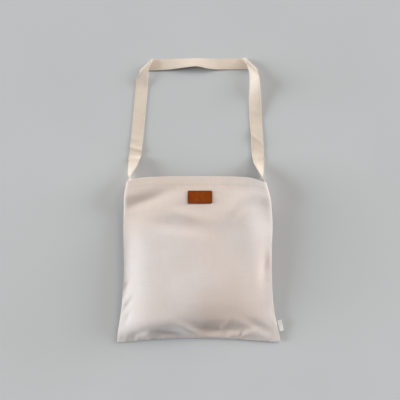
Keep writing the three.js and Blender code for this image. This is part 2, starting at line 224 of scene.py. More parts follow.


# plain weave on the cloth's own flat map: threads, slubs, seed flecks, uneven colour, and painted warm
# shade in the dents and towards the mouth
def calicoMaterial(name, shades):
    material, tree, shader = newMaterial(name)
    flat = addNode(tree, "ShaderNodeUVMap", uv_map="cloth").outputs[0]
    place = addNode(tree, "ShaderNodeTexCoord").outputs["Object"]
    bandScale = 2 * math.pi / (20 * calico["threadPitch"])
    warpBands, weftBands = [bands(tree, flat, bandScale, 1.2, way, 0.4) for way in ("X", "Y")]
    weave = calc(tree, "MULTIPLY", warpBands, weftBands)
    warpSlub = noise(tree, stretched(tree, flat, (calico["slubWide"], calico["slubLong"], 1)), 1, 2)
    weftSlub = noise(tree, stretched(tree, flat, (calico["slubLong"], calico["slubWide"], 1)), 1, 2)
    slub = calc(tree, "ADD", warpSlub, weftSlub)
    slubShade = ramp(tree, calc(tree, "MULTIPLY", slub, 0.5), [(0.36, 0.945), (0.5, 0.99), (0.64, 1.0)])
    mottle = ramp(tree, noise(tree, place, calico["mottle"], 4, 0.6), [(0.35, 0.0), (0.68, 1.0)])
    cloud = ramp(tree, noise(tree, place, calico["cloud"], 3, 0.6), [(0.3, 0.965), (0.7, 1.0)])
    cellSockets = {"Vector": flat, "Scale": calico["flecks"], "Randomness": 1.0}
    cells = addNode(tree, "ShaderNodeTexVoronoi", cellSockets).outputs
    lot = calc(tree, "FRACT", calc(tree, "MULTIPLY", cells["Color"], 7.3))
    chosen = calc(tree, "GREATER_THAN", lot, calico["fleckSkip"])
    spot = calc(tree, "LESS_THAN", cells["Distance"], calico["fleckRadius"])
    fleck = calc(tree, "MULTIPLY", calc(tree, "MULTIPLY", spot, chosen), calico["fleckDepth"])
    colour = blend(tree, mottle, (*shades["pale"], 1), (*shades["warm"], 1))
    colour = blend(tree, 1.0, colour, slubShade, "MULTIPLY")
    colour = blend(tree, 1.0, colour, cloud, "MULTIPLY")
    weaveShade = ramp(tree, weave, [(0.0, 0.955), (0.55, 1.0)])
    colour = blend(tree, 1.0, colour, weaveShade, "MULTIPLY")
    colour = blend(tree, fleck, colour, (*calico["fleck"], 1))
    # painted warm shade in the dents and hollows of the front
    for x, y, reach, share in calico["paintedShadeSpots"]:
        shift, spread = (-x / reach, -y / reach, 0), (1 / reach, 1 / reach, 0)
        around = addNode(tree, "ShaderNodeMapping", {"Vector": place, "Location": shift, "Scale": spread})
        near = addNode(
            tree, "ShaderNodeTexGradient", {"Vector": around.outputs[0]}, gradient_type="SPHERICAL"
        )
        strength = calc(tree, "MULTIPLY", near.outputs["Fac"], share)
        tinted = blend(tree, 1.0, colour, (*calico["paintedShadeTint"], 1), "MULTIPLY")
        colour = blend(tree, strength, colour, tinted)
    # painted warm shade: darker and warmer towards the mouth, fading towards the right
    axes = addNode(tree, "ShaderNodeSeparateXYZ", {0: place}).outputs
    low, full = calico["paintedShadeFade"]
    upwards = addNode(tree, "ShaderNodeMapRange", {"Value": axes["Y"], "From Min": low, "From Max": full})
    end = shades["paintedShadeEnd"]
    fade = {"Value": axes["X"], "From Min": end, "From Max": end - calico["paintedShadeSideFade"]}
    fromRight = addNode(tree, "ShaderNodeMapRange", fade)
    paintedShadeShare = calc(tree, "MULTIPLY", upwards.outputs[0], fromRight.outputs[0])
    paintedShadeColour = ramp(tree, paintedShadeShare, [(0.0, 1.0), (1.0, calico["paintedMouthShade"])])
    colour = blend(tree, 1.0, colour, paintedShadeColour, "MULTIPLY")
    crumple = noise(tree, place, calico["crumple"], 5, 0.6, 0.6)
    normal = bump(tree, crumple, *calico["crumpleBump"])
    normal = bump(tree, slub, *calico["slubBump"], normal)
    normal = bump(tree, weave, *calico["weaveBump"], normal)
    tree.links.new(colour, shader.inputs["Base Color"])
    tree.links.new(normal, shader.inputs["Normal"])
    tree.links.new(ramp(tree, slub, [(0.3, 0.86), (0.7, 0.96)]), shader.inputs["Roughness"])
    shader.inputs["Sheen Weight"].default_value = 0.25
    shader.inputs["Sheen Roughness"].default_value = 0.55
    shader.inputs["Specular IOR Level"].default_value = 0.2
    return material


panelCalico = calicoMaterial("panel_calico", calico["panel"])
strapCalico = calicoMaterial("strap_calico", calico["strap"])

thread = {
    "twist": 380.0,  # scale of the twist's bands
    # light and dark colours
    "cream": ((0.74, 0.66, 0.58), (0.56, 0.47, 0.39)),
    "brown": ((0.12, 0.042, 0.014), (0.06, 0.02, 0.008)),
}


def threadMaterial(name, light, dark):
    material, tree, shader = newMaterial(name)
    place = addNode(tree, "ShaderNodeTexCoord").outputs["Object"]
    twist = bands(tree, place, thread["twist"], 0.8, "DIAGONAL")
    tree.links.new(blend(tree, twist, (*dark, 1), (*light, 1)), shader.inputs["Base Color"])
    tree.links.new(bump(tree, twist, 0.4, 0.0001), shader.inputs["Normal"])
    tree.links.new(ramp(tree, twist, [(0.0, 0.7), (1.0, 0.85)]), shader.inputs["Roughness"])
    return material


creamThread = threadMaterial("cream_thread", *thread["cream"])
brownThread = threadMaterial("brown_thread", *thread["brown"])

bagShape = {
    # y, left and right seams, their height, rounded rise, upright rise
    "sections": [
        (-191, -190.5, 190.5, 5, 0, 0),
        (-173, -189.5, 188.5, 7, 17, 0),
        (-150, -186, 183, 9.5, 29, 0),
        (-125, -182, 177.5, 12, 36, 0),
        (-85, -178, 173, 16, 42, 0),
        (-30, -175, 171.5, 19, 44, 0),
        (30, -177.5, 173, 19.5, 42, 0),
        (80, -179.5, 175.5, 19, 38, 1),
        (118, -179, 174, 18.5, 25, 9),
        (150, -177.5, 169.5, 18, 10, 20.6),
        (184, -173, 161.5, 18, 5, 20.6),
    ],
    "drawnIn": 10,  # how far the bottom seam is drawn in at its middle
    "standsOut": 8,  # how far the mouth stands out at its middle
    "droop": (2.4, 5),  # how far the mouth's left and right corners droop
    "droopFrom": (0.76, 0.96),  # shares of the half width where the droop begins and is full
    "lensPower": 2.5,  # roundness of the bulge across the bag
    "boxPower": 40,  # squareness of the upright sides
    "boxRound": 0.3,  # roundness of their upper and lower edges
    "frontInset": (0.7, 0.3),  # shares of the wall: everywhere, and more where the sides stand upright
    "backInset": 0.3,
    "backFlat": 0.6,  # share of the back's half width that lies flat
    "boxFlat": 0.965,  # the same where the sides stand upright
    "bottomRise": 0.12,  # share of the back's length that rises to the bottom seam
    "seamGap": 0.15,  # from the seam's middle to each panel
    "foldFade": 9,  # height above the seam in which the folds come in
    "clear": 0.5,  # least room between the front and the back, where a fold dips to the seam
    "clearBlend": 0.6,  # how softly the front keeps to it
    "wall": 1.4,  # wall of the solids; the cloth lies in it
    "cloth": 0.6,
    "skin": 0.15,  # the cloth's outer face lies this far inside the solid's
    "hemDepth": 25,
    "hemRoll": 0.725,  # radius of the hem's turn
    "seamRoll": 0.6,  # radius of the turn at the seams
    "seamTuck": 0.5,  # cloth beyond that turn
    "stitchDepth": 22,  # hem stitching below the mouth edge
    "steps": {"front": (170, 160), "back": (110, 100)},  # across and up
    "stepEase": 1.08,  # above 1, the rows lie closer together at the bottom
    "hemSteps": 16,
    "measureSteps": 601,  # points along a row when its length is measured
}
bottomY, mouthY = bagShape["sections"][0][0], bagShape["sections"][-1][0]
bagCurves = [smoothColumn(bagShape["sections"], k) for k in range(1, 6)]
leftSeam, rightSeam, seamHeight, lensRise, boxRise = bagCurves
fullBox = bagShape["sections"][-1][5]
backFlats = bagShape["backFlat"], bagShape["boxFlat"]

# main folds of the front: x, y, direction in degrees, half length, half width, height
frontFolds = {
    "mouth corner dent": (-122, 138, 17, 60, 15, -10),
    "hollow below the mouth corner": (-122, 118, 12, 56, 24, -4.5),
    "sag below the patch": (-52, 77, -7, 70, 17, -6.2),
    "lobe below the patch": (-32, 103, -13, 40, 11, 3.5),
    "left of the patch": (-62, 128, 20, 36, 20, 3),
    "right of the patch": (78, 115, 28, 45, 29, 6),
    "right hem hollow": (110, 160, 21, 36, 19, -4),
    "right crease": (107, 123, 44, 34, 10, -3.5),
    "right flank": (113, 80, 102, 80, 38, 8),
    "right side dent": (153, -10, 84, 38, 12, -8),
    "left flank": (-125, -35, 90, 140, 42, 6),
    "left edge slope": (-178, -12, 89, 115, 38, -11),
    "lower left swell": (-80, -113, 22, 150, 53, 11),
    "lower right hollow": (140, -95, 55, 115, 34, -5),
    "left bottom ridge": (-85, -134, 12, 90, 24, 7),
    "bottom dent left": (-68, -164, -11, 40, 11, -14),
    "bottom dent right": (44, -160, -1, 64, 18, -19),
    "bottom seam fold": (-24, -154, -36, 32, 11, 7.5),
    "bottom corner crease": (148, -158, -31, 46, 11, -5.5),
    "left corner dent": (-140, -171, 20, 26, 10, -7),
}
# small folds of the cloth between them, in the same columns
frontCreases = {
    "fold to the left corner": (-118, -165, 34, 26, 8, 4.5),
    "seam ridge left": (-60, -177, 3, 34, 6, 4),
    "seam ridge middle": (30, -177, -3, 28, 6.5, 5),
    "seam ridge right": (82, -173, 7, 24, 8, 4.5),
    "stripe in the right dent": (56, -152, 84, 17, 6, 4.5),
    "slack in the right dent": (14, -147, 24, 22, 8, -3),
    "pucker by the right corner": (118, -167, 24, 14, 7, 3.5),
    "pinch by the right corner": (99, -171, 70, 10, 4.5, -3.5),
    "pinch by the right seam": (63, -177, 68, 9, 5, -3),
    "pinch in the left dent": (-84, -172, 60, 9, 5, -2.5),
    "left edge wrinkle high": (-168, -62, 60, 16, 6, -5),
    "left edge wrinkle": (-165, -90, 55, 18, 6, 4),
    "left edge wrinkle low": (-166, -107, 52, 16, 6, -5),
    "left edge tuck": (-163, -132, 62, 18, 7, -4.5),
}


def heightAt(share):
    return bottomY + (mouthY - bottomY) * share


def squareness(y):
    return boxRise(y) / fullBox


def planPlace(across, share, inset):
    y = heightAt(share)
    left, right = leftSeam(y) + inset, rightSeam(y) - inset
    x = left + (right - left) * (across + 1) / 2
    drawnIn = bagShape["drawnIn"] * (1 - across**2) * (1 - share) ** 5
    standsOut = bagShape["standsOut"] * (1 - np.abs(across) ** 4) * share**5
    leftDroop, rightDroop = bagShape["droop"]
    droop = np.where(across > 0, rightDroop, leftDroop) * smoothStep(np.abs(across), *bagShape["droopFrom"])
    return x, y + drawnIn + standsOut - droop * share**8


def foldHeight(x, y, folds):
    total = np.zeros_like(x)
    for foldX, foldY, turn, halfLong, halfWide, height in folds.values():
        c, s = math.cos(math.radians(turn)), math.sin(math.radians(turn))
        along = ((x - foldX) * c + (y - foldY) * s) / halfLong
        aside = ((y - foldY) * c - (x - foldX) * s) / halfWide
        total += height * np.exp(-(along**2) - aside**2)
    return total


# outer face of the solid back
def backPlace(across, share):
    y = heightAt(share)
    x, placeY = planPlace(across, share, bagShape["backInset"])
    t = np.clip(np.abs(across), 0, 1)
    square = squareness(y)
    edge = seamHeight(y) - bagShape["seamGap"] - bagShape["wall"] * (1 - square)
    lensSide, boxSide = [np.maximum(0, (t - flat) / (1 - flat)) ** 2 for flat in backFlats]
    boxSide = 1 - np.maximum(0, 1 - boxSide) ** bagShape["boxRound"]
    side = lensSide + (boxSide - lensSide) * square
    bottom = np.maximum(0, 1 - share / bagShape["bottomRise"]) ** 2
    return np.stack([x, placeY, edge * (1 - (1 - side) * (1 - bottom))], -1)


# inner face of the solid front
def frontPlace(across, share):
    y = heightAt(share)
    everywhere, upright = bagShape["frontInset"]
    inset = bagShape["wall"] * (everywhere + upright * squareness(y))
    x, placeY = planPlace(across, share, inset)
    t = np.clip(np.abs(across), 0, 1)
    box = (1 - t ** bagShape["boxPower"]) ** bagShape["boxRound"]
    rise = lensRise(y) * (1 - t ** bagShape["lensPower"]) + boxRise(y) * box
    fold = foldHeight(x, placeY, {**frontFolds, **frontCreases})
    fold = fold * (1 - np.exp(-rise / bagShape["foldFade"]))
    least = backPlace(across, share)[..., 2] + bagShape["clear"]
    over = seamHeight(y) + bagShape["seamGap"] + rise + fold - least
    height = least + (over + np.sqrt(over**2 + bagShape["clearBlend"])) / 2
    return np.stack([x, placeY, height], -1)


# shares of the rows from the bottom to the mouth, closer together in the hem
def rowShares(stepsUp):
    rise = mouthY - bottomY
    hemStart = 1 - bagShape["hemDepth"] / rise
    body = np.linspace(0, 1, stepsUp + 1) ** bagShape["stepEase"] * hemStart
    hem = np.linspace(hemStart, 1, bagShape["hemSteps"] + 1)[1:]
    return np.concatenate([body, hem])


# face of a panel, its points evenly spaced across every row
def panelFace(placeAt, stepsAcross, stepsUp):
    shares = rowShares(stepsUp)
    fine = -np.cos(np.linspace(0, math.pi, bagShape["measureSteps"]))
    rows, lengths = [], []
    for share in shares:
        line = placeAt(fine, np.full_like(fine, share))
        way = np.concatenate([[0], np.cumsum(np.linalg.norm(np.diff(line, axis=0), axis=1))])
        margin = bagShape["seamRoll"]
        targets = np.linspace(margin, way[-1] - margin, stepsAcross + 1)
        rows.append(placeAt(np.interp(targets, way, fine), np.full(len(targets), share)))
        lengths.append(targets - way[-1] / 2)
    points = np.stack(rows)
    middle = points[:, points.shape[1] // 2]
    up = np.concatenate([[0], np.cumsum(np.linalg.norm(np.diff(middle, axis=0), axis=1))])
    flat = np.stack([np.stack(lengths), np.repeat(up[:, None], points.shape[1], 1)], -1)
    return points, flat


# cloth rolled over at an edge: rows or columns added beyond it, turning to the inside
def rolledEdge(edge, outward, normal, radius, tuck):
    turns = np.radians([30, 60, 90, 120, 150])
    added = [edge + radius * (math.sin(a) * outward - (1 - math.cos(a)) * normal) for a in turns]
    last = math.cos(turns[-1]) * outward - math.sin(turns[-1]) * normal
    added.append(added[-1] + last * tuck)
    steps = np.concatenate([radius * turns, [radius * turns[-1] + tuck]])
    return added, steps


# whole cut of a panel: face, hem turned in at the mouth, seams rolled in at the sides and bottom
def panelCut(face, flat, facing):
    normals = gridNormals(face) * facing
    radius = bagShape["hemRoll"]
    hemRows = bagShape["hemSteps"] + 1
    top, topFlat = [], []
    outward = unit(face[-1] - face[-2])
    for angle in np.radians([45, 90, 135]):
        top.append(face[-1] + radius * (math.sin(angle) * outward - (1 - math.cos(angle)) * normals[-1]))
        topFlat.append(flat[-1] + [0, radius * angle])
    for k in range(hemRows):
        top.append(face[-1 - k] - 2 * radius * normals[-1 - k])
        topFlat.append(flat[-1] + [0, radius * math.pi] + (flat[-1] - flat[-1 - k]) * [0, 1])
    face = np.concatenate([face, np.stack(top)])
    normals = np.concatenate([normals, np.repeat(normals[-1:], 3, 0), -normals[-1 : -1 - hemRows : -1]])
    flat = np.concatenate([flat, np.stack(topFlat)])
    roll, tuck = bagShape["seamRoll"], bagShape["seamTuck"]
    down, steps = rolledEdge(face[0], unit(face[0] - face[1]), normals[0], roll, tuck)
    face = np.concatenate([np.stack(down)[::-1], face])
    normals = np.concatenate([np.repeat(normals[:1], len(steps), 0), normals])
    flat = np.concatenate([np.stack([flat[0] - [0, s] for s in steps])[::-1], flat])
    for side in (0, -1):
        inner = 1 if side == 0 else -2
        outward = unit(face[:, side] - face[:, inner])
        added, steps = rolledEdge(face[:, side], outward, normals[:, side], roll, tuck)
        way = 1 if side else -1
        addedFlat = [flat[:, side] + [way * s, 0] for s in steps]
        if side == 0:
            face = np.concatenate([np.stack(added, 1)[:, ::-1], face], 1)
            normals = np.concatenate([np.repeat(normals[:, :1], len(steps), 1), normals], 1)
            flat = np.concatenate([np.stack(addedFlat, 1)[:, ::-1], flat], 1)
        else:
            face = np.concatenate([face, np.stack(added, 1)], 1)
            flat = np.concatenate([flat, np.stack(addedFlat, 1)], 1)
    return face, flat


sewn = {
    # depth and half width of the dip along the hem's stitches, height of the puff above them
    "drawn": (0.22, 1.8),
    "puffed": 0.12,
    # height and half width of the tugs at the stitches, their longest and shortest waves
    "tugs": (0.16, 7),
    "tugWaves": (26, 7),
    # reach and height of the puckers at each seam, their longest and shortest waves and how many
    "left": (13, 0.9),
    "right": (11, 0.7),
    "bottom": (15, 1.6),
    "puckerWaves": (46, 13, 9),
    "seamStart": 2.5,  # way from the seam in which the puckers come in
    "mouthShare": 0.35,  # share of the puckers that is left at the mouth
}


# small relief of the sewn cloth: hem drawn in along its stitches, puckers running in from the seams
def sewnRelief(flat, seed):
    draw = np.random.default_rng(seed)
    across, up = flat[..., 0], flat[..., 1]
    depth = up[-1, :1] - up[:, :1]
    fromStitches = depth - bagShape["stitchDepth"]
    drawnDepth, drawnWide = sewn["drawn"]
    drawn = -drawnDepth * np.exp(-((fromStitches / drawnWide) ** 2))
    puffed = sewn["puffed"] * smoothStep(-fromStitches, 1, 6)
    tugHeight, tugWide = sewn["tugs"]
    tugs = ripple(across, 0 * across, seed, *sewn["tugWaves"]) * np.exp(-((fromStitches / tugWide) ** 2))
    relief = drawn + puffed + tugHeight * tugs
    fromMouth = sewn["mouthShare"] + (1 - sewn["mouthShare"]) * smoothStep(depth, 10, 50)
    for away, along, seam in (
        (across - across[:, :1], up, "left"),
        (across[:, -1:] - across, up, "right"),
        (up, across, "bottom"),
    ):
        reach, swing = sewn[seam]
        lean = draw.uniform(-0.5, 0.5)
        waves = ripple(along + lean * away, 0 * along, int(draw.integers(1000)), *sewn["puckerWaves"])
        band = np.exp(-away / reach) * (1 - np.exp(-away / sewn["seamStart"]))
        relief = relief + swing * waves * band * fromMouth
    return relief[..., None]


def thicken(piece, name, thickness, offset):
    wall = piece.modifiers.new(name, "SOLIDIFY")
    wall.thickness, wall.offset = thickness * mm, offset


# short stitches along a line of points on a surface
def sewLine(bm, points, normals, stitch):
    way = np.concatenate([[0], np.cumsum(np.linalg.norm(np.diff(points, axis=0), axis=1))])
    halves = stitch["long"] / 2 * mm, stitch["thick"] / 2 * mm
    count = int(way[-1] / stitch["pitch"])
    places = (np.arange(count) + 0.5) * way[-1] / count
    at = np.stack([np.interp(places, way, points[:, k]) for k in range(3)], 1)
    ahead = np.stack([np.interp(places + 0.5, way, points[:, k]) for k in range(3)], 1)
    up = np.stack([np.interp(places, way, normals[:, k]) for k in range(3)], 1)
    for centre, front, lift in zip(at, ahead, up):
        run = Vector(front - centre).normalized()
        lift = Vector(lift).normalized()
        side = lift.cross(run).normalized()
        lift = run.cross(side)
        turn = Matrix((run, side, lift)).transposed().to_4x4()
        size = Matrix.Diagonal((halves[0], halves[1], halves[1], 1))
        laid = Matrix.Translation(Vector(centre * mm)) @ turn @ size
        bmesh.ops.create_icosphere(bm, subdivisions=1, radius=1, matrix=laid)


def stitchPiece(name, lines, stitch, material, slot):
    bm = bmesh.new()
    for points, normals in lines:
        sewLine(bm, points, normals, stitch)
    for face in bm.faces:
        face.smooth = True
    return carried(meshPiece(name, bm, material), slot)


hemStitch = {"pitch": 3.0, "long": 2.3, "thick": 0.5, "lift": 0.1}


# one panel from its face: relief, hem and seams, thickness and the hem's stitches
def makePanel(node, face, flat, facing, seed):
    outward = gridNormals(face) * facing
    face = face + outward * sewnRelief(flat, seed)
    points, flatMap = panelCut(face, flat, facing)
    points[..., 2] = np.maximum(points[..., 2], 0)  # nothing sinks into the floor
    way = slice(None, None, facing)
    panel = gridPiece(node + "_cloth", points[:, way], flatMap[:, way], panelCalico)
    thicken(panel, "cloth", bagShape["cloth"], -1)
    carried(panel, "calico", node)
    row = int(np.argmin(np.abs(flat[-1, 0, 1] - flat[:, 0, 1] - bagShape["stitchDepth"])))
    outward = (gridNormals(face) * facing)[row, 1:-1]
    line = face[row, 1:-1] + outward * hemStitch["lift"]
    stitches = stitchPiece(node + "_hem_stitches", [(line, outward)], hemStitch, creamThread, "calico")
    return panel, face, stitches


frontFace, frontFlat = panelFace(frontPlace, *bagShape["steps"]["front"])
frontFace = frontFace + gridNormals(frontFace) * (bagShape["wall"] - bagShape["skin"])
frontPanel, frontFace, frontStitches = makePanel("front_panel", frontFace, frontFlat, facing=1, seed=5)
backFace, backFlat = panelFace(backPlace, *bagShape["steps"]["back"])
backFace = backFace + gridNormals(backFace) * bagShape["skin"]
backPanel, _, backStitches = makePanel("back_panel", backFace, backFlat, facing=-1, seed=8)
print("panels made:", len(frontPanel.data.vertices), len(backPanel.data.vertices))

strapShape = {
    "width": 30,
    "thick": 2.4,
    "topY": 495,
    "endY": 162,
    "stitchIn": 2.6,  # stitch lines from the edges
    "skin": 0.1,  # the cloth's faces lie this far inside the solid's
    "drawn": (0.45, 1.1),  # depth and half width of the dip along the stitches
    "thinned": (0.15, 0.8),  # the same at the edges
    "edgeRound": 0.675,  # how far the folded edge stands out beyond the last points
    "underside": 40,  # place of the underside beside the upper face on the flat cloth
    "step": 2.6,
    "rollSteps": 14,
    "skewFade": (14, 60),  # way from a corner in which the rows turn square again
    "settle": 14,  # way behind a corner in which the roll becomes the leg
    # side, x, slope of the fold in degrees, radius of the roll
    "corners": {"left": (-1, -135.5, 45, 5), "right": (1, 135, 46, 7)},
    # x, heights of the lower and upper edges, shift along y
    "top": [
        (-118, 1.2, 1.2, -3),
        (-80, 3, 1.2, -1.6),
        (-38, 9, 1.4, -0.2),
        (-6, 12.5, 1.8, 0.2),
        (27, 7.5, 4, -2),
        (52, 2, 1.4, -0.6),
        (80, 1.2, 1.2, 0),
    ],
    # y, x, heights of the inner and outer edges
    "left": [
        (495, -141, 11.2, 11.2),
        (470, -143.4, 10, 10.5),
        (425, -146.5, 1.2, 1.2),
        (292, -155.5, 1.2, 1.2),
        (276, -156.6, 3, 1.6),
        (254, -158.6, 3, 1.2),
        (240, -160.2, 13, 3),
        (222, -163.6, 21, 3),
        (206, -167, 28, 2.8),
        (190, -166.2, 33.5, 3.5),
        (162, -169, 33.5, 3.5),
    ],
    "right": [
        (495, 138, 15.2, 15.2),
        (470, 139.5, 4, 26.5),
        (440, 141, 2, 24),
        (395, 142.6, 1.2, 10),
        (340, 144.3, 1.2, 1.2),
        (305, 145.7, 4, 2),
        (265, 147.3, 1.2, 1.2),
        (240, 148.4, 9, 1.2),
        (222, 150, 21, 1.2),
        (206, 152.2, 28.5, 2.2),
        (190, 153, 33.5, 3.5),
        (162, 159, 33.5, 3.5),
    ],
}
# creases across the legs: y at the middle, slant, half width, height
strapCreases = {
    "left": [(294, -0.1, 7, 0.9), (270, -0.2, 5, 3), (243, 0.0, 7, 3)],
    "right": [(366, 0.15, 8, 0.9), (294, 0.9, 5.5, 1.7), (246, -0.2, 7, 1.2)],
}
strapMiddleX = (strapShape["corners"]["left"][1] + strapShape["corners"]["right"][1]) / 2
topLower, topUpper, topShift = [smoothColumn(strapShape["top"], k) for k in (1, 2, 3)]
legCurves = {name: [smoothColumn(strapShape[name], k) for k in (1, 2, 3)] for name in ("left", "right")}


# middle face of the strap: s along it from its middle, v across it
def strapPlace(s, v):
    width = strapShape["width"]
    name = "left" if s < 0 else "right"
    side, cornerX, slope, roll = strapShape["corners"][name]
    slant = math.radians(slope)
    outward = np.array([side * math.sin(slant), math.cos(slant)])
    foldWay = np.array([side * math.cos(slant), -math.sin(slant)])
    x = strapMiddleX + s
    topY = strapShape["topY"] + topShift(x)
    flat = np.array([x - cornerX, v]) + outward * math.pi * roll / 2
    past = flat @ outward
    if past <= 0:
        lower, upper = topLower(x), topUpper(x)
        lean = math.sqrt(1 - ((upper - lower) / width) ** 2)
        y = topY + width / 2 - (width / 2 - v) * lean
        return np.array([x, y, lower + (upper - lower) * (v / width + 0.5)])
    angle = min(past / roll, math.pi)
    back = max(0, past - math.pi * roll)
    place = foldWay * (flat @ foldWay) + outward * (roll * math.sin(angle) - back - math.pi * roll / 2)
    rolledZ = strapShape["thick"] / 2 + roll * (1 - math.cos(angle))
    rolled = np.array([cornerX + place[0], topY + place[1], rolledZ])
    y = topY - side * (x - cornerX)
    legX, legInner, legOuter = legCurves[name]
    heading = math.atan(legX(y + 1) - legX(y - 1)) / 2
    inner, outer = legInner(y), legOuter(y)
    lean = math.sqrt(max(0, 1 - ((inner - outer) / width) ** 2))
    reach = -side * v * lean
    legZ = outer + (inner - outer) * (v / width + 0.5)
    leg = np.array([legX(y) + reach * math.cos(heading), y - reach * math.sin(heading), legZ])
    for creaseY, slantBy, halfWide, height in strapCreases[name]:
        leg[2] += height * math.exp(-(((y - creaseY - slantBy * v) / halfWide) ** 2))
    return rolled + (leg - rolled) * smoothStep(back, 0, strapShape["settle"])


# places along the strap, with how far each row leans to lie along the folds of the corners
def strapRows():
    rows = []
    for name in ("left", "right"):
        side, x, slope, roll = strapShape["corners"][name]
        toCorner = abs(x - strapMiddleX)
        rollHalf = math.pi * roll / 2 / math.sin(math.radians(slope))
        end = toCorner + strapShape["topY"] + topShift(x) - strapShape["endY"]
        places = [0.0]
        for target, step in (
            (toCorner - rollHalf, strapShape["step"]),
            (toCorner + rollHalf, 2 * rollHalf / strapShape["rollSteps"]),
            (end, strapShape["step"]),
        ):
            count = round((target - places[-1]) / step)
            places += list(np.linspace(places[-1], target, count + 1)[1:])
        half = []
        for s in places:
            away = abs(s - toCorner) - rollHalf
            skew = (1 - smoothStep(away, *strapShape["skewFade"])) / math.tan(math.radians(slope))
            half.append((side * s, -side * skew))
        rows += half[:0:-1] if side < 0 else half
    return rows


# half thickness across the strap: puffed between the two stitch lines, drawn in along them
def strapPuff(v):
    edge = strapShape["width"] / 2 - np.abs(v)
    drawnDepth, drawnWide = strapShape["drawn"]
    thinnedDepth, thinnedWide = strapShape["thinned"]
    drawn = drawnDepth * np.exp(-(((edge - strapShape["stitchIn"]) / drawnWide) ** 2))
    thinned = thinnedDepth * np.exp(-edge / thinnedWide)
    return strapShape["thick"] / 2 - strapShape["skin"] - drawn - thinned


def strapMiddle(across):
    rows = strapRows()
    points = np.stack([[strapPlace(s + v * skew, v) for v in across] for s, skew in rows])
    flat = np.stack([[(v, s + v * skew) for v in across] for s, skew in rows])
    return points, flat


halfWidth = strapShape["width"] / 2
strapAcross = halfWidth * np.array([0.985, 0.955, 0.915, 0.87, 0.825, 0.78, 0.7, 0.5, 0.25, 0.0])
strapAcross = np.concatenate([strapAcross, -strapAcross[-2::-1]])
strapFace, strapFlat = strapMiddle(strapAcross)
strapNormals = gridNormals(strapFace[:, ::-1])[:, ::-1]
strapPuffs = strapPuff(strapAcross)[None, :, None]
strapUpper = strapFace + strapNormals * strapPuffs
strapLower = strapFace - strapNormals * strapPuffs
edgeOut = unit(strapFace[:, :1] - strapFace[:, 1:2]) * strapShape["edgeRound"]
edgeIn = unit(strapFace[:, -1:] - strapFace[:, -2:-1]) * strapShape["edgeRound"]
around = [
    strapUpper,
    strapFace[:, -1:] + edgeIn,
    strapLower[:, ::-1],
    strapFace[:, :1] + edgeOut,
    strapUpper[:, :1],
]
under = strapShape["underside"]
aroundFlat = [
    strapFlat,
    strapFlat[:, -1:] - [0.5, 0],
    strapFlat[:, ::-1] - [under, 0],
    strapFlat[:, :1] - [under - 0.5, 0],
    strapFlat[:, :1] - [under, 0],
]
strap = gridPiece("strap_cloth", np.concatenate(around, 1), np.concatenate(aroundFlat, 1), strapCalico)
bm = bmesh.new()
bm.from_mesh(strap.data)
bmesh.ops.remove_doubles(bm, verts=bm.verts, dist=1e-6)
bmesh.ops.holes_fill(bm, edges=[e for e in bm.edges if e.is_boundary], sides=0)
bmesh.ops.recalc_face_normals(bm, faces=bm.faces)
bm.to_mesh(strap.data)
bm.free()
soften = strap.modifiers.new("soften", "SUBSURF")
soften.levels = soften.render_levels = 1
carried(strap, "strap_calico", "strap")
print("strap made:", len(strap.data.vertices))

strapStitch = {"pitch": 3.2, "long": 2.4, "thick": 0.5, "lift": 0.05}
stitchV = halfWidth - strapShape["stitchIn"]
strapLines = []
for v in (stitchV, -stitchV):
    for side in (1, -1):
        column = int(np.argmin(np.abs(strapAcross - v)))
        face = strapUpper if side > 0 else strapLower
        outward = strapNormals[:, column] * side
        strapLines.append((face[:, column] + outward * strapStitch["lift"], outward))
strapStitches = stitchPiece("strap_stitches", strapLines, strapStitch, creamThread, "strap_calico")
print("strap stitches made:", len(strapStitches.data.polygons))

patchShape = {
    "width": 56,
    "height": 30,
    "thick": 1.8,
    "corner": 3,
    "middle": (3, 143),
    "gap": 0.45,  # between the patch and the cloth
    "points": (81, 49),  # across and up
    "stitchIn": 2.4,
    "stitchCorner": 1.6,  # radius of the stitch line's corners
    "stitchSink": 0.12,
    "wornEdge": (0.3, 0.7),  # depth and half width of the worn edge
    "groove": (0.22, 0.55),  # the same for the groove of the stitches
    "fitPoints": 9,  # each way, where the bend is fitted to the front
    "grain": 900,  # leather grain to a metre
    "dye": 95,  # patches to a metre of uneven dye
    "dents": 240,  # shallow dents to a metre
    "tan": (0.31, 0.058, 0.002),
    "deep": (0.222, 0.038, 0.002),
    "edge": (0.075, 0.017, 0.003),
}


